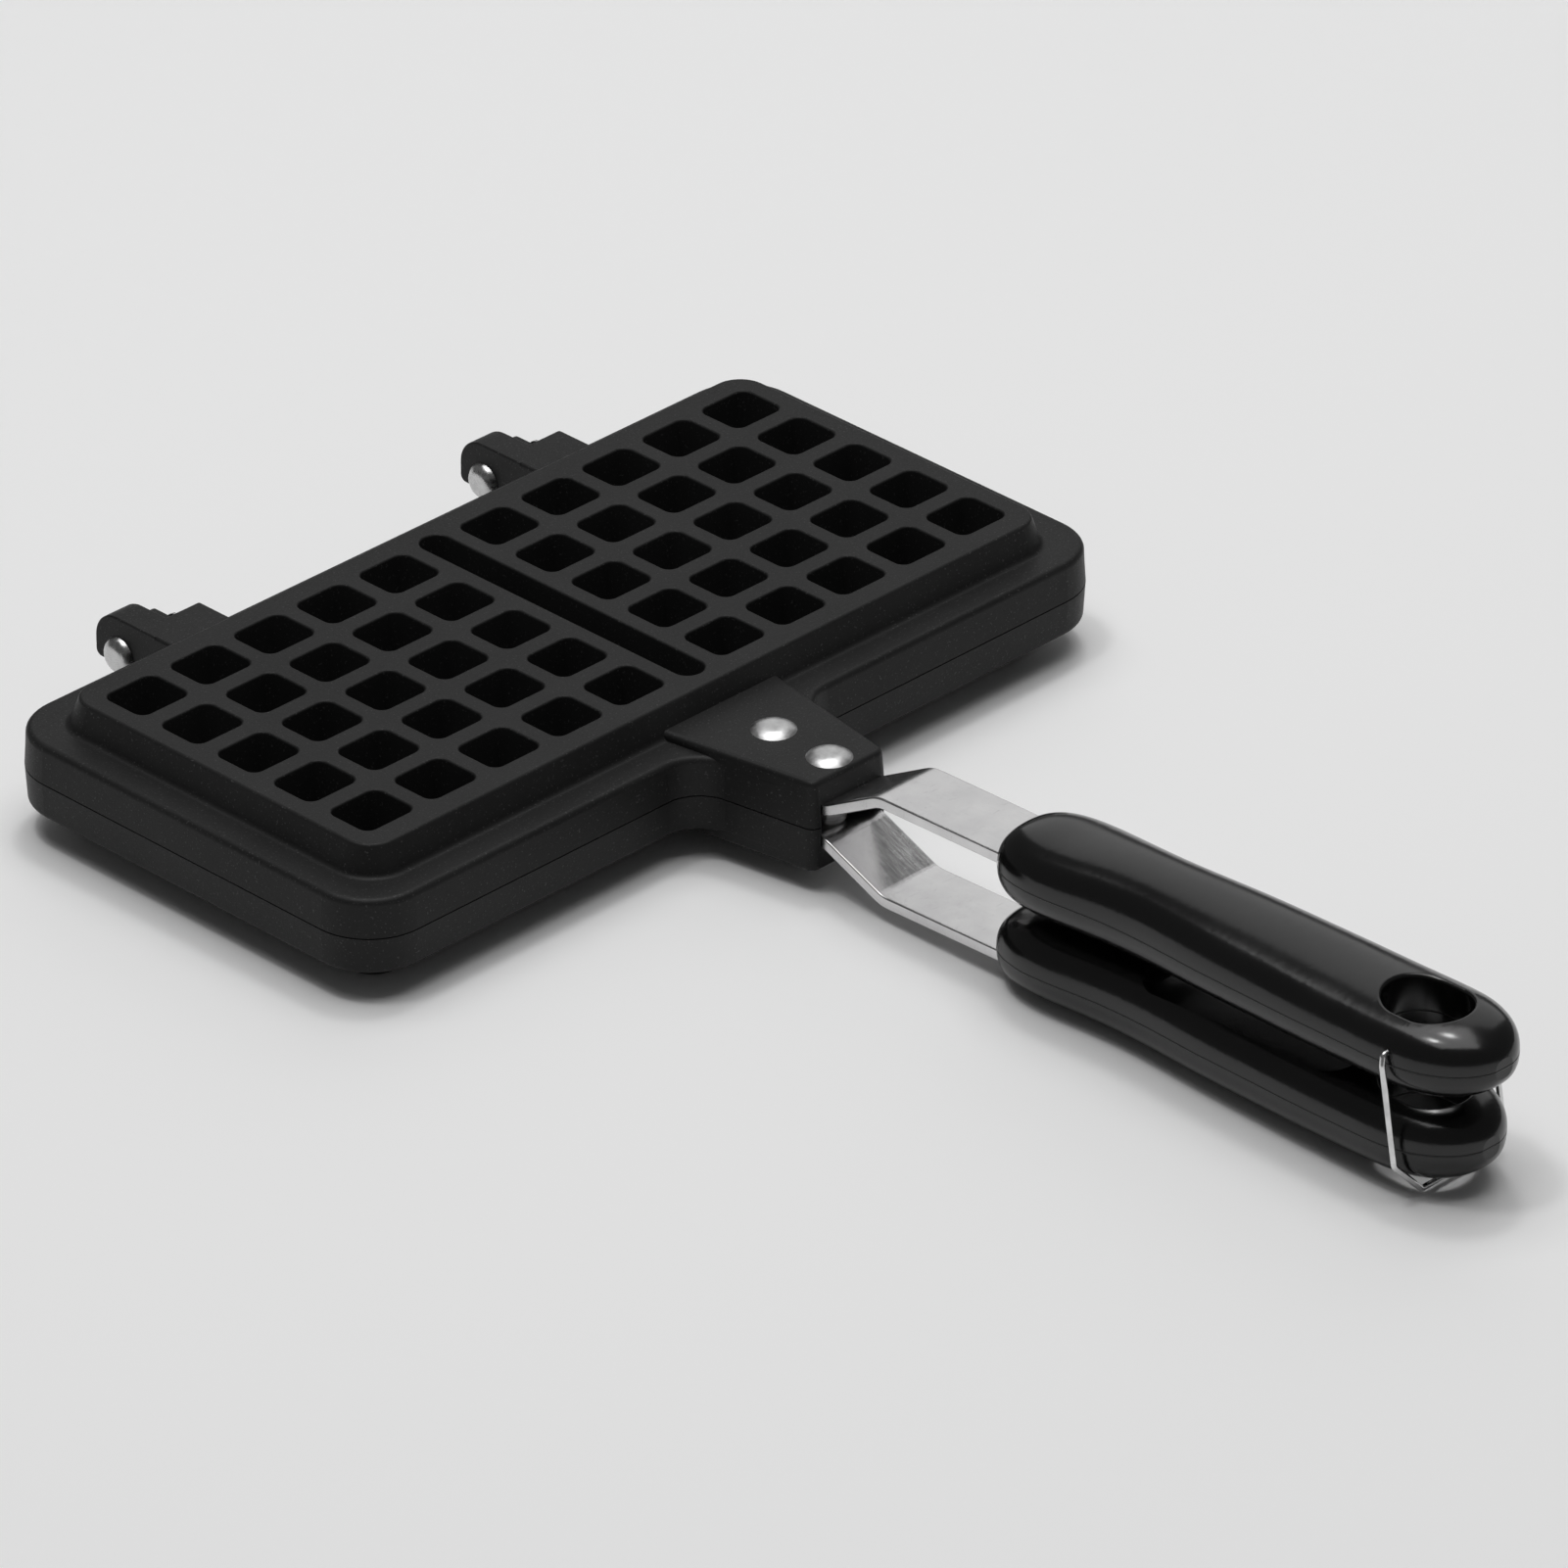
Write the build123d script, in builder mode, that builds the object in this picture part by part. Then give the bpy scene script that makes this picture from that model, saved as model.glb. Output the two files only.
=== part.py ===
from build123d import *
import math
import os

# ---------------------------------------------------------------- driving dimensions (mm)
# Heights are measured from the seam between the two castings, and lengths along Y from
# the middle of the castings. The grips point towards -Y, the hinges are at +Y.

HINGE_END = 83.5            # furthest point of the hinge knuckles
UPPER_TIP = -286.4          # end of the upper grip
LOWER_TIP = -283.5          # the lower grip is a little shorter, so the bail can pass it

PAD_TOP = 16.67             # height of the ribbed pad above the seam
PLATE_Y = -(HINGE_END + UPPER_TIP) / 2   # puts the origin under the middle of the whole pan
SEAM_Z = PAD_TOP
SEAM_GAP = 0.15             # each rim stops this far short of the seam plane

# casting, outside
RIM_X, RIM_Y, RIM_R = 236.1, 120.1, 15.0
RIM_H = 9.44
RIM_DRAFT = 3.4
PAD_X, PAD_Y, PAD_R = 218.2, 103.1, 9.6
PAD_DRAFT = 19.3
COLUMNS = (15.9, 35.4, 54.9, 74.4, 93.9)
ROW_PITCH = 18.1
ROWS = 5
POCKET_X, POCKET_Y, POCKET_R = 14.9, 13.1, 2.6
POCKET_DEPTH = 12.0
POCKET_DRAFT = 8.0
SLOT_W, SLOT_L = 7.8, 88.7

# casting, waffle side
PEG_TIP = 2.5               # pegs stop this far above the seam plane
FIELD_TOP = 12.8            # floor of the grooves that form the waffle ribs
GROOVE = 2.0                # groove width at its floor
PEG_R = 3.4                 # corner radius of a peg at its root
FIELD_X0, FIELD_X1 = 5.2, 105.1   # one waffle, at the groove floor
FIELD_Y = 93.3
FIELD_R = 4.0
GUTTER_IN_X, GUTTER_IN_Y, GUTTER_IN_R = 219.2, 102.4, 7.5
GUTTER_OUT_X, GUTTER_OUT_Y, GUTTER_OUT_R = 229.8, 113.8, 11.8
GUTTER_DEPTH = 6.0

# rivet boss
BOSS_TOP = 11.5
BOSS_FRONT = -92.0
BOSS_HALF = 12.0            # half width at the front, at the seam
BOSS_FLARE = 0.166         # how fast each side widens towards the plate
THROAT_R = 9.5              # hollow corner between the boss and the flange
EDGE_R = 1.6                # rounded outer edges of the flange
BOSS_EDGE_R = 1.3           # rounded top edges of the boss
BOSS_CORNER_R = 2.8         # its upright corners
CHANNEL_W = 19.0
CHANNEL_TOP = 5.5
CHANNEL_END = -62.6
RIVET_YS = (-85.05, -67.6)
RIVET_R = 2.5
RIVET_HOLE_R = 2.55

# hinge
PIN_Y = 75.5
PIN_R = 2.0
PIN_RUN_R = 2.05            # running bore in the upper knuckles
LUG_TOP = 9.4
LUG_END = 68.8
LUG_A = (48.9, 66.9)        # right-hand base of the upper casting
LUG_A_KNUCKLE = (48.9, 56.8)
LUG_B = (-66.3, -47.6)      # left-hand base of the upper casting
LUG_B_KNUCKLE = (-66.3, -58.1)

# straps
STRAP_W, STRAP_T = 18.4, 2.8
STRAP_UP = ((-63.0, 4.1), (-92.2, 4.1), (-108.9, 13.40), (-196.0, 15.4))
STRAP_LOW = ((-63.0, -4.1), (-92.2, -4.1), (-110.2, -11.6), (-196.0, -9.0))
BEND_R = 7.0                # inside radius of the strap bends
TANG_HOLE_Y = -184.0
TANG_HOLE_R = 3.5

# grips
GRIP_PARTING = 10.4         # height of the mould line above the plane between the grips
GRIP_POWER = 2.5            # roundness of the rounded end
GRIP_FULLNESS = 0.688       # roundness of the section; 0.552 would be an ellipse
REST_GAP = 0.45             # the lower grip stays this far above the resting face
HOLE_X, HOLE_Y, HOLE_AT = 16.9, 21.0, -264.2
RECESS_W, RECESS_L, RECESS_AT, RECESS_DEPTH = 21.0, 61.0, -218.0, 2.8
RECESS_R = 6.0
LOWER_SWELL = 0.11          # the lower grip is this much deeper below its mould line at the tip
TIP_DROP = 0.5              # the mould lines dip this far towards the tips

# bail
WIRE_R = 0.7
BAIL_Y, BAIL_Z = -266.4, 18.6
BAIL_LEG_X = 17.05
BAIL_BAR_X = 9.7
BAIL_BAR_Y, BAIL_BAR_Z = -272.4, -15.15
BAIL_SHOULDER = 26.2        # how far the straight legs reach below the pivot
BAIL_TOP_X, BAIL_TOP_DROP = 16.35, 2.4   # slanting shoulders above the legs
BAIL_END_X = 11.6           # how deep the bent ends reach into the grip


def mid_height(y):
    """Height of the plane between the two grips, which rises slightly to the tip."""
    return 2.9 + 0.030 * (-156.0 - y)


def level(h):
    """Horizontal plane at height h above the seam, centred on the castings."""
    return Plane(origin=(0, PLATE_Y, SEAM_Z + h))


def side(x):
    """Upright plane facing +X: across it runs Y, up it runs Z."""
    return Plane(origin=(x, PLATE_Y, SEAM_Z), x_dir=(0, 1, 0), z_dir=(1, 0, 0))


half_turn = Axis((0, PLATE_Y, SEAM_Z), (0, 1, 0))

# ---------------------------------------------------------------- pocket and peg shapes
with BuildPart() as pocket:
    with BuildSketch(Plane.XY.offset(PAD_TOP)):
        RectangleRounded(POCKET_X, POCKET_Y, POCKET_R)
    extrude(amount=-POCKET_DEPTH, taper=POCKET_DRAFT)
    fillet(pocket.faces().sort_by(Axis.Z)[0].edges(), radius=0.7)

peg_x = COLUMNS[1] - COLUMNS[0] - GROOVE
peg_y = ROW_PITCH - GROOVE
with BuildPart() as peg:
    with BuildSketch(Plane.XY.offset(FIELD_TOP)):
        RectangleRounded(peg_x, peg_y, PEG_R)
    extrude(amount=PEG_TIP - FIELD_TOP, taper=POCKET_DRAFT)
    fillet(peg.faces().sort_by(Axis.Z)[0].edges(), radius=1.2)
    extrude(peg.faces().sort_by(Axis.Z)[-1], amount=0.6)

with BuildPart() as slot:
    with BuildSketch(Plane.XY.offset(PAD_TOP)):
        RectangleRounded(SLOT_W, SLOT_L, SLOT_W / 2 - 0.05)
    extrude(amount=-POCKET_DEPTH, taper=POCKET_DRAFT)

pocket_spots = [(s * x, ROW_PITCH * r) for s in (-1, 1) for x in COLUMNS for r in range(-(ROWS // 2), ROWS // 2 + 1)]

# ---------------------------------------------------------------- upper casting
def boss_half(y):
    return BOSS_HALF + (y - BOSS_FRONT) * BOSS_FLARE


# flange, with a short neck that gives the hollow corners beside the boss
with BuildPart() as rim:
    with BuildSketch(level(0)) as rim_outline:
        RectangleRounded(RIM_X, RIM_Y, RIM_R)
        with BuildLine():
            Polyline((-boss_half(-86), -86), (boss_half(-86), -86), (boss_half(-40), -40), (-boss_half(-40), -40), close=True)
        make_face()
        throats = rim_outline.vertices().filter_by(
            lambda v: abs(v.Y + RIM_Y / 2) < 0.6 and abs(abs(v.X) - boss_half(-RIM_Y / 2)) < 0.6
        )
        fillet(throats, radius=THROAT_R)
        fillet(rim_outline.vertices().filter_by(lambda v: abs(v.Y + 86) < 0.6), radius=5)
    extrude(amount=RIM_H, taper=RIM_DRAFT)
    fillet(rim.edges().filter_by_position(Axis.Z, SEAM_Z + RIM_H - 0.02, SEAM_Z + RIM_H + 0.02), radius=EDGE_R)

# rivet boss: a tongue that widens towards the plate
def boss_outline(h, corner):
    inset = h * math.tan(math.radians(RIM_DRAFT))
    front, tail = BOSS_HALF - inset, boss_half(-48) - inset
    with BuildSketch(level(h)) as outline:
        with BuildLine():
            Polyline((-front, BOSS_FRONT + inset), (front, BOSS_FRONT + inset), (tail, -48), (-tail, -48), close=True)
        make_face()
        fillet(outline.vertices().filter_by(lambda v: v.Y < -80), radius=corner)
    return outline.sketch


with BuildPart() as boss:
    add(boss_outline(0, BOSS_CORNER_R))
    add(boss_outline(BOSS_TOP, BOSS_CORNER_R - 0.4))
    loft(ruled=True)
    fillet(boss.faces().sort_by(Axis.Z)[-1].edges(), radius=BOSS_EDGE_R)


def lug_block(x0, x1):
    """Base of a hinge lug, rounded on the sides that show."""
    with BuildPart() as block:
        with BuildSketch(level(0)):
            with Locations(((x0 + x1) / 2, (LUG_END + 50) / 2)):
                Rectangle(x1 - x0, LUG_END - 50)
        extrude(amount=LUG_TOP)
        top = block.edges().filter_by_position(Axis.Z, SEAM_Z + LUG_TOP - 0.01, SEAM_Z + LUG_TOP + 0.01)
        ends = block.edges().filter_by(Axis.Z).filter_by(lambda e: e.center().Y - PLATE_Y > LUG_END - 0.1)
        fillet(top.filter_by(lambda e: e.center().Y - PLATE_Y > 51) + ends, radius=0.8)
    return block


def knuckle(x0, x1):
    """Eye of a hinge lug, rounded at its two side faces."""
    with BuildPart() as eye:
        with BuildSketch(side(x0)):
            with BuildLine():
                Polyline((PIN_Y - 12, 0.4), (PIN_Y - 12, LUG_TOP), (PIN_Y + 1, LUG_TOP))
                RadiusArc((PIN_Y + 1, LUG_TOP), (PIN_Y + 8, LUG_TOP - 7), 7)
                Line((PIN_Y + 8, LUG_TOP - 7), (PIN_Y + 8, -1.0))
                RadiusArc((PIN_Y + 8, -1.0), (PIN_Y + 6.2, -2.8), 1.8)
                Line((PIN_Y + 6.2, -2.8), (PIN_Y - 4.4, -2.8))
                RadiusArc((PIN_Y - 4.4, -2.8), (PIN_Y - 6.2, -1.0), 1.8)
                Polyline((PIN_Y - 6.2, -1.0), (PIN_Y - 6.2, 0.4), (PIN_Y - 12, 0.4))
            make_face()
        extrude(amount=x1 - x0)
        rims = eye.edges().filter_by(
            lambda e: (abs(e.center().X - x0) < 0.01 or abs(e.center().X - x1) < 0.01)
            and e.center().Y - PLATE_Y > PIN_Y - 6 and e.center().Z - SEAM_Z < LUG_TOP + 0.1
        )
        fillet(rims + eye.edges().filter_by(
            lambda e: (abs(e.center().X - x0) < 0.01 or abs(e.center().X - x1) < 0.01)
            and abs(e.center().Z - SEAM_Z - LUG_TOP) < 0.01
        ), radius=0.45)
    return eye


with BuildPart() as upper_plate:
    add(rim.part)
    add(boss.part)
    add(lug_block(*LUG_A).part)
    add(lug_block(*LUG_B).part)
    add(knuckle(*LUG_A_KNUCKLE).part)
    add(knuckle(*LUG_B_KNUCKLE).part)
    # pad
    with BuildSketch(level(RIM_H - 0.01)):
        RectangleRounded(PAD_X, PAD_Y, PAD_R)
    extrude(amount=PAD_TOP - RIM_H + 0.01, taper=PAD_DRAFT)

    # softened outside edges: foot of the pad, its top, the flange and the boss
    foot = upper_plate.edges().filter_by_position(Axis.Z, SEAM_Z + RIM_H - 0.02, SEAM_Z + RIM_H + 0.02).filter_by(
        lambda e: abs(e.center().X) < PAD_X / 2 + 0.3 and abs(e.center().Y - PLATE_Y) < PAD_Y / 2 + 0.3
    )
    fillet(foot, radius=1.5)
    crown = upper_plate.edges().filter_by_position(Axis.Z, SEAM_Z + PAD_TOP - 0.01, SEAM_Z + PAD_TOP + 0.01)
    fillet(crown, radius=0.9)
    # flat of the seam, clear of the knuckles
    with BuildSketch(level(-1)):
        with Locations((0, (LUG_END - 95) / 2)):
            Rectangle(RIM_X + 10, LUG_END + 95 + 0.4)
    extrude(amount=1 + SEAM_GAP, mode=Mode.SUBTRACT)
    # two waffle fields with a rib between them
    with BuildSketch(level(FIELD_TOP)):
        with Locations(((FIELD_X0 + FIELD_X1) / 2, 0), (-(FIELD_X0 + FIELD_X1) / 2, 0)):
            RectangleRounded(FIELD_X1 - FIELD_X0, FIELD_Y, FIELD_R)
    extrude(amount=-FIELD_TOP, taper=-POCKET_DRAFT, mode=Mode.SUBTRACT)
    # overflow gutter in the flange
    with BuildSketch(level(0)):
        RectangleRounded(GUTTER_OUT_X, GUTTER_OUT_Y, GUTTER_OUT_R)
        RectangleRounded(GUTTER_IN_X, GUTTER_IN_Y, GUTTER_IN_R, mode=Mode.SUBTRACT)
    extrude(amount=GUTTER_DEPTH, mode=Mode.SUBTRACT)
    # channel under the boss for the strap
    with BuildSketch(level(0)):
        with Locations((0, (CHANNEL_END + BOSS_FRONT - 2) / 2)):
            Rectangle(CHANNEL_W, CHANNEL_END - BOSS_FRONT + 2)
    extrude(amount=CHANNEL_TOP, mode=Mode.SUBTRACT)
    # pegs on the waffle side, pockets and slot outside
    with Locations(*[(x, PLATE_Y + y, SEAM_Z) for x, y in pocket_spots]):
        add(peg.part)
    with Locations(*[(x, PLATE_Y + y, SEAM_Z) for x, y in pocket_spots]):
        add(pocket.part, mode=Mode.SUBTRACT)
    with Locations((0, PLATE_Y, SEAM_Z)):
        add(slot.part, mode=Mode.SUBTRACT)
    mouths = upper_plate.edges().filter_by_position(Axis.Z, SEAM_Z + PAD_TOP - 0.01, SEAM_Z + PAD_TOP + 0.01).filter_by(
        lambda e: abs(e.center().X) < PAD_X / 2 - 4.2 and abs(e.center().Y - PLATE_Y) < PAD_Y / 2 - 4.2
    )
    fillet(mouths, radius=0.5)
    # rivet holes and pin bores
    with Locations(*[(0, PLATE_Y + y, SEAM_Z + BOSS_TOP) for y in RIVET_YS]):
        Hole(radius=RIVET_HOLE_R, depth=BOSS_TOP)
    with BuildSketch(side(-70)):
        with Locations((PIN_Y, 0)):
            Circle(PIN_RUN_R)
    extrude(amount=140, mode=Mode.SUBTRACT)

with BuildPart() as lower_plate:
    add(upper_plate.part.rotate(half_turn, 180))


# ---------------------------------------------------------------- straps
def ribbon(route, thickness):
    """Upper and lower outline of a strip that follows a route."""
    def shifted(d):
        out = []
        for k, p in enumerate(route):
            dirs = []
            if k > 0:
                a = route[k - 1]
                m = math.hypot(p[0] - a[0], p[1] - a[1])
                dirs.append(((p[0] - a[0]) / m, (p[1] - a[1]) / m))
            if k < len(route) - 1:
                b = route[k + 1]
                m = math.hypot(b[0] - p[0], b[1] - p[1])
                dirs.append(((b[0] - p[0]) / m, (b[1] - p[1]) / m))
            if len(dirs) == 1:
                nx, ny = -dirs[0][1], dirs[0][0]
                out.append((p[0] + d * nx, p[1] + d * ny))
            else:
                (ax, ay), (bx, by) = dirs
                nx, ny = -(ay + by), ax + bx
                m = math.hypot(nx, ny)
                nx, ny = nx / m, ny / m
                c = nx * -ay + ny * ax
                out.append((p[0] + d / c * nx, p[1] + d / c * ny))
        return out
    return shifted(thickness / 2), shifted(-thickness / 2)


def bend_edges(strap, outside):
    """Edges across the strip at its two bends, on the outside or the inside of each bend."""
    across = strap.edges().filter_by(Axis.X).filter_by(lambda e: -111 < e.center().Y - PLATE_Y < -90)
    first = across.filter_by(lambda e: e.center().Y - PLATE_Y > -100).sort_by(lambda e: abs(e.center().Z - SEAM_Z))
    second = across.filter_by(lambda e: e.center().Y - PLATE_Y < -100).sort_by(lambda e: abs(e.center().Z - SEAM_Z))
    return [first[0], second[-1]] if outside else [first[-1], second[0]]


with BuildPart() as upper_strap:
    with BuildSketch(side(-STRAP_W / 2)):
        with BuildLine():
            above, below = ribbon(STRAP_UP, STRAP_T)
            Polyline(*(above + below[::-1]), close=True)
        make_face()
    extrude(amount=STRAP_W)
    fillet(bend_edges(upper_strap, True), radius=BEND_R + STRAP_T)
    fillet(bend_edges(upper_strap, False), radius=BEND_R)
    fillet(upper_strap.faces().sort_by(Axis.X)[0].edges() + upper_strap.faces().sort_by(Axis.X)[-1].edges(), radius=0.45)
    with Locations(*[(0, PLATE_Y + y, SEAM_Z + 6) for y in RIVET_YS]):
        Hole(radius=RIVET_HOLE_R, depth=5)
    with Locations((0, PLATE_Y + TANG_HOLE_Y, SEAM_Z + 20)):
        Hole(radius=TANG_HOLE_R, depth=12)

with BuildPart() as lower_strap:
    with BuildSketch(side(-STRAP_W / 2)):
        with BuildLine():
            above, below = ribbon(STRAP_LOW, STRAP_T)
            Polyline(*(above + below[::-1]), close=True)
        make_face()
    extrude(amount=STRAP_W)
    fillet(bend_edges(lower_strap, True), radius=BEND_R + STRAP_T)
    fillet(bend_edges(lower_strap, False), radius=BEND_R)
    fillet(lower_strap.faces().sort_by(Axis.X)[0].edges() + lower_strap.faces().sort_by(Axis.X)[-1].edges(), radius=0.45)
    with Locations(*[(0, PLATE_Y + y, SEAM_Z - 2) for y in RIVET_YS]):
        Hole(radius=RIVET_HOLE_R, depth=5)
    with Locations((0, PLATE_Y + TANG_HOLE_Y, SEAM_Z - 4)):
        Hole(radius=TANG_HOLE_R, depth=12)


# ---------------------------------------------------------------- rivets
def rivet_outline(y):
    top, grip, tail = BOSS_TOP, CHANNEL_TOP - STRAP_T, CHANNEL_TOP - STRAP_T - 2.0
    with BuildSketch(side(0)) as s:
        with BuildLine():
            Polyline((y, top + 1.3), (y + 2.0, top + 1.3))
            RadiusArc((y + 2.0, top + 1.3), (y + 5.3, top), 5.6)
            Polyline((y + 5.3, top), (y + RIVET_R, top), (y + RIVET_R, grip), (y + 4.0, grip), (y + 4.0, grip - 0.7))
            RadiusArc((y + 4.0, grip - 0.7), (y + 2.4, tail), 2.2)
            Polyline((y + 2.4, tail), (y, tail), (y, top + 1.3))
        make_face()
    return s


def rivet_axis(y):
    return Axis((0, PLATE_Y + y, SEAM_Z), (0, 0, 1))


with BuildPart() as upper_front_rivet:
    add(rivet_outline(RIVET_YS[0]).sketch)
    revolve(axis=rivet_axis(RIVET_YS[0]))

with BuildPart() as upper_rear_rivet:
    add(rivet_outline(RIVET_YS[1]).sketch)
    revolve(axis=rivet_axis(RIVET_YS[1]))

with BuildPart() as lower_front_rivet:
    add(upper_front_rivet.part.rotate(half_turn, 180))

with BuildPart() as lower_rear_rivet:
    add(upper_rear_rivet.part.rotate(half_turn, 180))


# ---------------------------------------------------------------- hinge pins
def pin_outline(x0, x1):
    """Half section of a pin whose head sits left of x0 and whose tail is formed right of x1."""
    with BuildSketch(Plane(origin=(0, PLATE_Y + PIN_Y, SEAM_Z), x_dir=(1, 0, 0), z_dir=(0, -1, 0))) as s:
        with BuildLine():
            Polyline((x0 - 2.3, 0), (x0 - 2.3, 2.0))
            RadiusArc((x0 - 2.3, 2.0), (x0 - 0.1, 4.6), 3.2)
            Polyline((x0 - 0.1, 4.6), (x0 - 0.1, PIN_R), (x1 + 0.1, PIN_R), (x1 + 0.1, 3.6), (x1 + 0.8, 3.6))
            RadiusArc((x1 + 0.8, 3.6), (x1 + 1.9, 1.8), 2.4)
            Polyline((x1 + 1.9, 1.8), (x1 + 1.9, 0), (x0 - 2.3, 0))
        make_face()
    return s


pin_axis = Axis((0, PLATE_Y + PIN_Y, SEAM_Z), (1, 0, 0))

with BuildPart() as right_hinge_pin:
    add(pin_outline(LUG_A_KNUCKLE[0], -LUG_B_KNUCKLE[0]).sketch)
    revolve(axis=pin_axis)

with BuildPart() as left_hinge_pin:
    add(pin_outline(LUG_B_KNUCKLE[0], -LUG_A_KNUCKLE[0]).sketch)
    revolve(axis=pin_axis)

# ---------------------------------------------------------------- grips
# y, half width, height above the mould line, height below it
GRIP_STATIONS = (
    (-143.9, 6.4, 4.0, 4.0),
    (-144.5, 7.9, 5.4, 5.2),
    (-145.6, 9.3, 6.8, 6.5),
    (-147.3, 10.8, 7.9, 7.6),
    (-149.9, 12.3, 8.7, 8.5),
    (-153.8, 13.6, 9.15, 9.1),
    (-160.0, 14.35, 9.35, 9.3),
    (-172.0, 13.7, 9.85, 9.3),
    (-184.0, 13.1, 10.15, 9.3),
    (-196.0, 13.5, 10.2, 9.3),
    (-208.0, 14.3, 10.15, 9.3),
    (-224.0, 14.9, 9.95, 9.3),
    (-240.0, 15.4, 9.6, 9.3),
)
TIP_LENGTH = 21.0
TIP_STEPS = (0.0, 0.25, 0.45, 0.62, 0.76, 0.87, 0.945, 0.985)


def grip_stations(tip):
    out = list(GRIP_STATIONS)
    out.append(((-240.0 + tip + TIP_LENGTH) / 2, 15.55, 9.4, 9.3))
    for s in TIP_STEPS:
        out.append((
            tip + TIP_LENGTH * (1 - s) - 0.3 * s,
            15.6 * math.sqrt(1 - s * s),
            9.25 * (1 - s ** GRIP_POWER) ** (1 / GRIP_POWER),
            9.3 * (1 - s ** GRIP_POWER) ** (1 / GRIP_POWER),
        ))
    y_end, w_end, u_end, d_end = out[-1]
    out[-1] = (tip, w_end, u_end, d_end)
    return out


def grip_sections(tip, sign):
    """Sections across the grip. sign +1 is the upper grip, -1 the lower."""
    faces = []
    for y, w, up, down in grip_stations(tip):
        near_tip = min(1, max(0, (-200 - y) / 50))
        h = mid_height(y) + sign * GRIP_PARTING - TIP_DROP * near_tip
        if sign < 0:
            up = min(up * (1 + LOWER_SWELL * near_tip), PAD_TOP - REST_GAP + h)
        outer, inner = (up, down) if sign > 0 else (down, up)
        with BuildSketch(Plane(origin=(0, PLATE_Y + y, SEAM_Z + h), x_dir=(1, 0, 0), z_dir=(0, -1, 0))) as s:
            with BuildLine():
                k = GRIP_FULLNESS
                Bezier((w, 0), (w, k * outer), (k * w, outer), (0, outer))
                Bezier((0, outer), (-k * w, outer), (-w, k * outer), (-w, 0))
                Bezier((-w, 0), (-w, -k * inner), (-k * w, -inner), (0, -inner))
                Bezier((0, -inner), (k * w, -inner), (w, -k * inner), (w, 0))
            make_face()
        faces.append(s.sketch)
    return faces


def tang_pocket(route, sign):
    above, below = ribbon(route, STRAP_T + 0.04)
    with BuildPart() as tang:
        with BuildSketch(side(-STRAP_W / 2 - 0.02)):
            with BuildLine():
                Polyline(*(above + below[::-1]), close=True)
            make_face()
        extrude(amount=STRAP_W + 0.04)
        with Locations((0, PLATE_Y + TANG_HOLE_Y, SEAM_Z + (20 if sign > 0 else -4))):
            Hole(radius=TANG_HOLE_R - 0.02, depth=12)
    return tang


def recess_plane(sign):
    """Floor of the shallow recess in the face turned to the other grip."""
    h = mid_height(RECESS_AT) + sign * (GRIP_PARTING - 9.3 + RECESS_DEPTH)
    return Plane(origin=(0, PLATE_Y + RECESS_AT, SEAM_Z + h), x_dir=(1, 0, 0), z_dir=(0, 0.03 * sign, sign))


def hole_rim(part, reach):
    """Edges where the hanging hole meets the outer and inner faces of a grip."""
    return part.edges().filter_by(
        lambda e: abs(e.center().Y - PLATE_Y - HOLE_AT) < HOLE_Y / 2 + 0.5 and abs(e.center().X) < HOLE_X / 2 + 0.2
        and e.bounding_box().size.Z < reach
    )


with BuildPart() as upper_handle:
    for face in grip_sections(UPPER_TIP, 1):
        add(face)
    loft()
    with BuildSketch(level(mid_height(HOLE_AT) - 1)):
        with Locations((0, HOLE_AT)):
            RectangleRounded(HOLE_X, HOLE_Y, HOLE_X / 2 - 0.05)
    extrude(amount=30, mode=Mode.SUBTRACT)
    fillet(hole_rim(upper_handle, 3.5), radius=0.8)
    with BuildSketch(recess_plane(1)):
        RectangleRounded(RECESS_W, RECESS_L, RECESS_R)
    extrude(amount=-6, mode=Mode.SUBTRACT)
    add(tang_pocket(STRAP_UP, 1).part, mode=Mode.SUBTRACT)
    for s in (-1, 1):
        with BuildSketch(side(s * BAIL_END_X - s * 0.4)):
            with Locations((BAIL_Y, BAIL_Z)):
                Circle(WIRE_R + 0.08)
        extrude(amount=s * 12, mode=Mode.SUBTRACT)

with BuildPart() as lower_handle:
    for face in grip_sections(LOWER_TIP, -1):
        add(face)
    loft()
    with BuildSketch(level(mid_height(HOLE_AT) + 1)):
        with Locations((0, HOLE_AT)):
            RectangleRounded(HOLE_X, HOLE_Y, HOLE_X / 2 - 0.05)
    extrude(amount=-30, mode=Mode.SUBTRACT)
    fillet(hole_rim(lower_handle, 3.5), radius=0.8)
    with BuildSketch(recess_plane(-1)):
        RectangleRounded(RECESS_W, RECESS_L, RECESS_R)
    extrude(amount=-6, mode=Mode.SUBTRACT)
    add(tang_pocket(STRAP_LOW, -1).part, mode=Mode.SUBTRACT)

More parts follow.
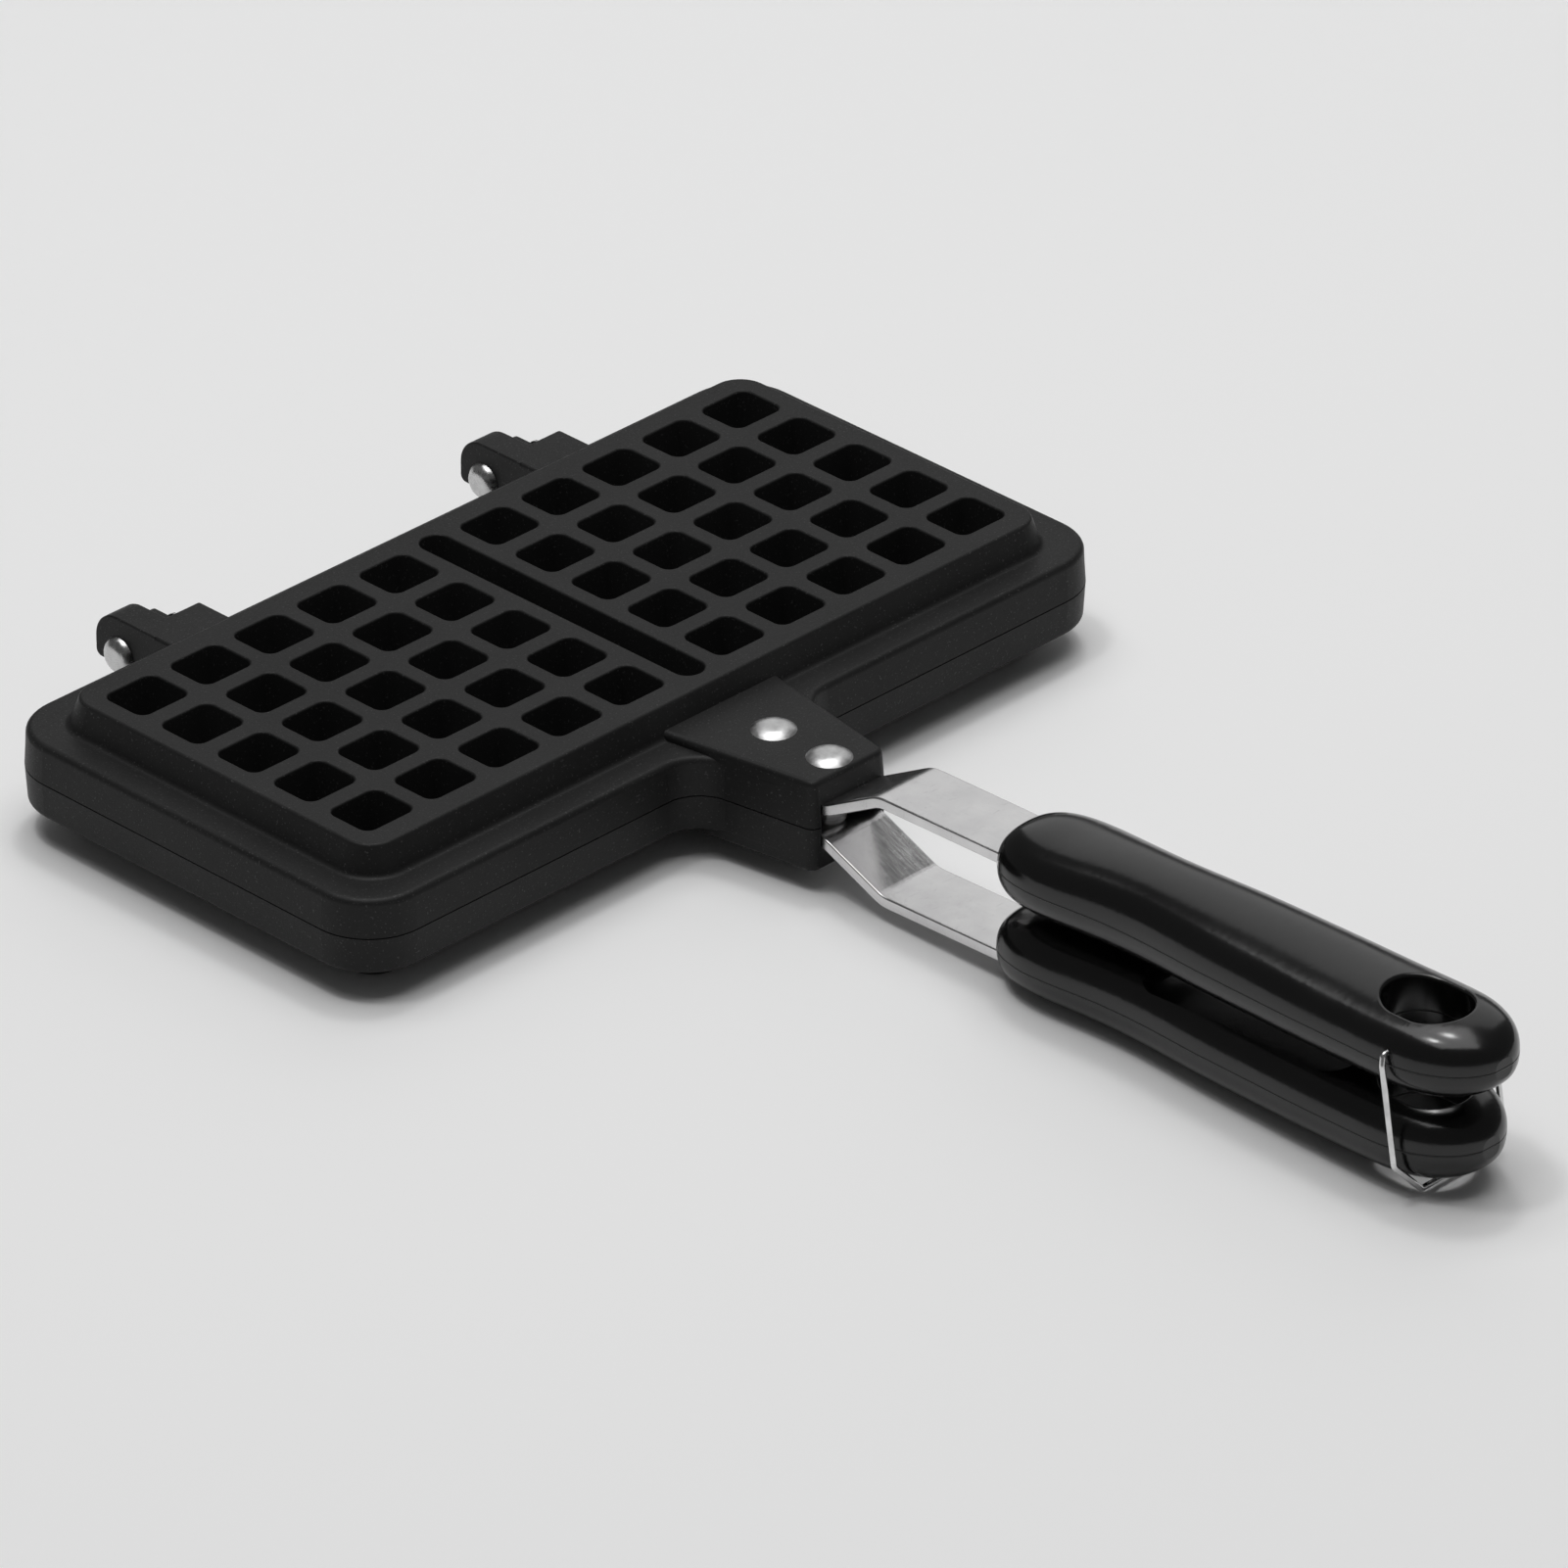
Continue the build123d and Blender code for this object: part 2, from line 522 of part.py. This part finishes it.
# ---------------------------------------------------------------- wire bail
bail_reach = math.hypot(BAIL_BAR_Y - BAIL_Y, BAIL_BAR_Z - BAIL_Z)
bail_plane = Plane(
    origin=(0, PLATE_Y + BAIL_Y, SEAM_Z + BAIL_Z), x_dir=(1, 0, 0),
    z_dir=(0, BAIL_BAR_Z - BAIL_Z, BAIL_Y - BAIL_BAR_Y),
)
with BuildPart() as wire_bail:
    with BuildLine(bail_plane) as wire:
        FilletPolyline(
            (-BAIL_END_X, 0), (-BAIL_TOP_X, 0), (-BAIL_LEG_X, -BAIL_TOP_DROP), (-BAIL_LEG_X, -BAIL_SHOULDER),
            (-BAIL_BAR_X, -bail_reach), (BAIL_BAR_X, -bail_reach), (BAIL_LEG_X, -BAIL_SHOULDER),
            (BAIL_LEG_X, -BAIL_TOP_DROP), (BAIL_TOP_X, 0), (BAIL_END_X, 0),
            radius=(0.8, 1.5, 1.6, 1.6, 1.6, 1.6, 1.5, 0.8),
        )
    with BuildSketch(Plane(origin=wire.line @ 0, z_dir=wire.line % 0)):
        Circle(WIRE_R)
    sweep()

# ---------------------------------------------------------------- write the pieces
os.makedirs("parts", exist_ok=True)
pieces = {
    "upper_plate": upper_plate,
    "lower_plate": lower_plate,
    "upper_strap": upper_strap,
    "lower_strap": lower_strap,
    "upper_front_rivet": upper_front_rivet,
    "upper_rear_rivet": upper_rear_rivet,
    "lower_front_rivet": lower_front_rivet,
    "lower_rear_rivet": lower_rear_rivet,
    "right_hinge_pin": right_hinge_pin,
    "left_hinge_pin": left_hinge_pin,
    "upper_handle": upper_handle,
    "lower_handle": lower_handle,
    "wire_bail": wire_bail,
}
for name, piece in pieces.items():
    piece.part.label = name
    export_step(piece.part, f"parts/{name}.step")
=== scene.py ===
import bpy
import math
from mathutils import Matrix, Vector

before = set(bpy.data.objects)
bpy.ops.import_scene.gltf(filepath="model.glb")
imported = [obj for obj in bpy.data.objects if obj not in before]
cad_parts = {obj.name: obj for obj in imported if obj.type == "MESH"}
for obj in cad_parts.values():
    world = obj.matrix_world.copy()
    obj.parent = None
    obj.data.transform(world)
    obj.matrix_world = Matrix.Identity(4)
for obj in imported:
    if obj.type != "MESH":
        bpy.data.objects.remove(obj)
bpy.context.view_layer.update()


PLATE_Y = 0.10145
SEAM_Z = 0.01667
scene = bpy.context.scene


# ------------------------------------------------------------------ node helpers
def material(name):
    m = bpy.data.materials.new(name)
    m.use_nodes = True
    t = m.node_tree
    return m, t, t.nodes["Principled BSDF"]


def node(t, kind, **settings):
    n = t.nodes.new(kind)
    for key, value in settings.items():
        setattr(n, key, value)
    return n


def coords(t, scale=(1, 1, 1), location=(0, 0, 0), rotation=(0, 0, 0)):
    tc = node(t, "ShaderNodeTexCoord")
    mp = node(t, "ShaderNodeMapping")
    mp.inputs["Scale"].default_value = scale
    mp.inputs["Location"].default_value = location
    mp.inputs["Rotation"].default_value = rotation
    t.links.new(tc.outputs["Object"], mp.inputs["Vector"])
    return mp.outputs["Vector"]


def noise(t, vector, scale, detail=2.0, rough=0.5):
    n = node(t, "ShaderNodeTexNoise")
    n.inputs["Scale"].default_value = scale
    n.inputs["Detail"].default_value = detail
    n.inputs["Roughness"].default_value = rough
    t.links.new(vector, n.inputs["Vector"])
    return n.outputs["Fac"]


def span(t, value, a, b, lo, hi):
    n = node(t, "ShaderNodeMapRange")
    n.inputs["From Min"].default_value = a
    n.inputs["From Max"].default_value = b
    n.inputs["To Min"].default_value = lo
    n.inputs["To Max"].default_value = hi
    t.links.new(value, n.inputs["Value"])
    return n.outputs["Result"]


def maths(t, op, a, b=None):
    n = node(t, "ShaderNodeMath", operation=op)
    for k, v in enumerate((a, b)):
        if v is None:
            continue
        if isinstance(v, (int, float)):
            n.inputs[k].default_value = v
        else:
            t.links.new(v, n.inputs[k])
    return n.outputs[0]


def mix(t, fac, a, b):
    n = node(t, "ShaderNodeMix", data_type="RGBA")
    if isinstance(fac, (int, float)):
        n.inputs[0].default_value = fac
    else:
        t.links.new(fac, n.inputs[0])
    for k, v in ((6, a), (7, b)):
        if isinstance(v, tuple):
            n.inputs[k].default_value = v
        else:
            t.links.new(v, n.inputs[k])
    return n.outputs[2]


def bump(t, height, distance, strength=1.0, under=None):
    n = node(t, "ShaderNodeBump")
    n.inputs["Distance"].default_value = distance
    n.inputs["Strength"].default_value = strength
    t.links.new(height, n.inputs["Height"])
    if under is not None:
        t.links.new(under, n.inputs["Normal"])
    return n.outputs["Normal"]


def grey(v, a=1.0):
    return (v, v, v, a)


# ------------------------------------------------------------------ materials
def nonstick():
    """Sprayed non-stick coat: near black, satin, with a fine grain and rare light specks."""
    m, t, p = material("nonstick")
    v = coords(t)
    cloud = noise(t, v, 35, 3)
    grain = noise(t, v, 3200, 2)
    speck = noise(t, v, 2100, 0)
    base = mix(t, span(t, cloud, 0.35, 0.7, 0, 1), grey(0.0125), grey(0.0165))
    base = mix(t, span(t, speck, 0.72, 0.80, 0, 0.35), base, grey(0.11))
    t.links.new(base, p.inputs["Base Color"])
    t.links.new(span(t, grain, 0.3, 0.7, 0.40, 0.54), p.inputs["Roughness"])
    p.inputs["Specular IOR Level"].default_value = 0.17
    soft = noise(t, v, 700, 3)
    n1 = bump(t, soft, 0.00012, 0.30)
    t.links.new(bump(t, grain, 0.00004, 0.5, n1), p.inputs["Normal"])
    return m


def phenolic(name, side):
    """Glossy black moulding, very slightly uneven, with the line where its mould closed."""
    m, t, p = material(name)
    v = coords(t)
    p.inputs["Base Color"].default_value = grey(0.0045)
    p.inputs["Specular IOR Level"].default_value = 0.5
    # height above the mould line, which rises a little towards the tip
    axes = node(t, "ShaderNodeSeparateXYZ")
    t.links.new(v, axes.inputs[0])
    y = maths(t, "SUBTRACT", axes.outputs["Y"], PLATE_Y)
    line = maths(t, "ADD", maths(t, "MULTIPLY", y, -0.030), SEAM_Z + 0.0029 - 0.030 * 0.156 + side * 0.0104)
    dip = span(t, y, -0.200, -0.250, 0, 0.0005)
    above = maths(t, "SUBTRACT", axes.outputs["Z"], maths(t, "SUBTRACT", line, dip))
    above = maths(t, "ADD", above, maths(t, "MULTIPLY", maths(t, "SUBTRACT", noise(t, v, 220, 2), 0.5), 0.00016))
    ridge = span(t, maths(t, "ABSOLUTE", above), 0.00006, 0.00024, 1, 0)
    worn = noise(t, v, 60, 4)
    rough = mix(t, ridge, span(t, worn, 0.3, 0.7, 0.15, 0.22), grey(0.42))
    t.links.new(rough, p.inputs["Roughness"])
    n1 = bump(t, noise(t, v, 45, 1), 0.00035, 0.05)
    n2 = bump(t, noise(t, v, 1400, 2), 0.00001, 0.25, n1)
    t.links.new(bump(t, ridge, 0.00016, 0.9, n2), p.inputs["Normal"])
    return m


def strap_steel():
    """Satin stainless strip: rolled grain across the strip, a few scratches, uneven sheen."""
    m, t, p = material("strap_steel")
    p.inputs["Metallic"].default_value = 1.0
    along = coords(t, scale=(1800, 90, 600))
    fine = noise(t, along, 1.0, 3, 0.6)
    cloud = noise(t, coords(t), 90, 3)
    fleck = noise(t, coords(t), 1900, 1)
    scratch = noise(t, coords(t, scale=(260, 3600, 260), rotation=(0, 0, 0.7)), 1.0, 1)
    lines = span(t, scratch, 0.70, 0.76, 0, 1)
    base = mix(t, span(t, cloud, 0.3, 0.7, 0, 1), (0.66, 0.655, 0.66, 1), (0.76, 0.755, 0.755, 1))
    base = mix(t, span(t, fleck, 0.68, 0.76, 0, 0.35), base, grey(0.40))
    base = mix(t, maths(t, "MULTIPLY", lines, 0.5), base, grey(0.50))
    t.links.new(base, p.inputs["Base Color"])
    t.links.new(span(t, fine, 0.3, 0.7, 0.17, 0.27), p.inputs["Roughness"])
    n1 = bump(t, fine, 0.00001, 0.30)
    t.links.new(bump(t, lines, 0.00002, 0.4, n1), p.inputs["Normal"])
    return m


def turned(name, centre, axis, low=0.30, high=0.42):
    """Bare aluminium head, turned in rings about its own centre."""
    m, t, p = material(name)
    p.inputs["Metallic"].default_value = 1.0
    v = coords(t)
    sub = node(t, "ShaderNodeVectorMath", operation="SUBTRACT")
    t.links.new(v, sub.inputs[0])
    sub.inputs[1].default_value = centre
    flat = node(t, "ShaderNodeVectorMath", operation="MULTIPLY")
    t.links.new(sub.outputs[0], flat.inputs[0])
    flat.inputs[1].default_value = tuple(0 if k == axis else 1 for k in range(3))
    length = node(t, "ShaderNodeVectorMath", operation="LENGTH")
    t.links.new(flat.outputs[0], length.inputs[0])
    r = length.outputs["Value"]
    wobble = maths(t, "MULTIPLY", noise(t, v, 500, 2), 0.0006)
    rings = maths(t, "SINE", maths(t, "MULTIPLY", maths(t, "ADD", r, wobble), 9000.0))
    cloud = noise(t, v, 700, 3)
    t.links.new(mix(t, span(t, cloud, 0.3, 0.7, 0, 1), grey(0.48), grey(0.60)), p.inputs["Base Color"])
    t.links.new(span(t, cloud, 0.3, 0.7, low, high), p.inputs["Roughness"])
    n1 = bump(t, rings, 0.00001, 0.12)
    t.links.new(bump(t, noise(t, v, 1800, 2), 0.00002, 0.25, n1), p.inputs["Normal"])
    return m


def wire_steel():
    m, t, p = material("wire_steel")
    p.inputs["Metallic"].default_value = 1.0
    v = coords(t)
    t.links.new(mix(t, span(t, noise(t, v, 300, 3), 0.3, 0.7, 0, 1), grey(0.55), grey(0.78)), p.inputs["Base Color"])
    t.links.new(span(t, noise(t, v, 900, 2), 0.3, 0.7, 0.14, 0.28), p.inputs["Roughness"])
    return m


coat = nonstick()
steel = strap_steel()
finishes = {
    "upper_plate": coat,
    "lower_plate": coat,
    "upper_handle": phenolic("phenolic_upper", 1),
    "lower_handle": phenolic("phenolic_lower", -1),
    "upper_strap": steel,
    "lower_strap": steel,
    "wire_bail": wire_steel(),
    "upper_front_rivet": turned("front_rivet_face", (0, PLATE_Y - 0.08505, 0), 2),
    "lower_front_rivet": turned("front_rivet_face_low", (0, PLATE_Y - 0.08505, 0), 2),
    "upper_rear_rivet": turned("rear_rivet_face", (0, PLATE_Y - 0.0676, 0), 2),
    "lower_rear_rivet": turned("rear_rivet_face_low", (0, PLATE_Y - 0.0676, 0), 2),
    "left_hinge_pin": turned("left_pin_face", (0, PLATE_Y + 0.0755, SEAM_Z), 0, 0.2, 0.36),
    "right_hinge_pin": turned("right_pin_face", (0, PLATE_Y + 0.0755, SEAM_Z), 0, 0.2, 0.36),
}
for name, finish in finishes.items():
    obj = bpy.data.objects[name]
    if not obj.material_slots:
        obj.data.materials.append(finish)
    for s in obj.material_slots:
        s.material = finish


# ------------------------------------------------------------------ stage
def floor():
    mesh = bpy.data.meshes.new("floor")
    a = 3.0
    mesh.from_pydata([(-a, -a, 0), (a, -a, 0), (a, a, 0), (-a, a, 0)], [], [(0, 1, 2, 3)])
    obj = bpy.data.objects.new("floor", mesh)
    scene.collection.objects.link(obj)
    m, t, p = material("floor")
    p.inputs["Base Color"].default_value = (0.92, 0.92, 0.92, 1)
    p.inputs["Roughness"].default_value = 0.85
    p.inputs["Specular IOR Level"].default_value = 0.1
    mesh.materials.append(m)
    obj.location = (0, 0, -0.0002)


floor()


def area(name, place, target, size, power, size_y=None):
    light = bpy.data.lights.new(name, "AREA")
    light.energy = power
    light.shape = "RECTANGLE" if size_y else "SQUARE"
    light.size = size
    if size_y:
        light.size_y = size_y
    obj = bpy.data.objects.new(name, light)
    obj.location = place
    obj.rotation_euler = (Vector(target) - Vector(place)).to_track_quat("-Z", "Y").to_euler()
    scene.collection.objects.link(obj)
    return obj


area("overhead", (0.1, 0.2, 2.6), (0, 0, 0), 2.4, 41, 2.4)
area("right_box", (0.45, 0.35, 2.2), (0, 0, 0), 0.26, 5, 0.26)
area("left_box", (-0.45, 0.30, 2.2), (0, 0, 0), 0.26, 5, 0.26)
area("back_wall", (2.0, 1.45, 1.5), (0, 0, 0.05), 2.6, 11, 2.1)

world = bpy.data.worlds.new("world")
world.use_nodes = True
world.node_tree.nodes["Background"].inputs[0].default_value = (1, 1, 1, 1)
world.node_tree.nodes["Background"].inputs[1].default_value = 0.10
scene.world = world

# ------------------------------------------------------------------ camera
cam = bpy.data.cameras.new("camera")
cam.sensor_width = 36.0
cam.lens = 305.2
cam.clip_end = 50
cam_obj = bpy.data.objects.new("camera", cam)
cam_obj.location = (-1.8237, -1.8762 + PLATE_Y, 1.4708 + 2 * SEAM_Z)
aim = Vector((-0.02204, -0.09269 + PLATE_Y, 2 * SEAM_Z))
cam_obj.rotation_euler = (aim - cam_obj.location).to_track_quat("-Z", "Y").to_euler()
scene.collection.objects.link(cam_obj)
scene.camera = cam_obj

scene.view_settings.view_transform = "Standard"
scene.view_settings.look = "None"
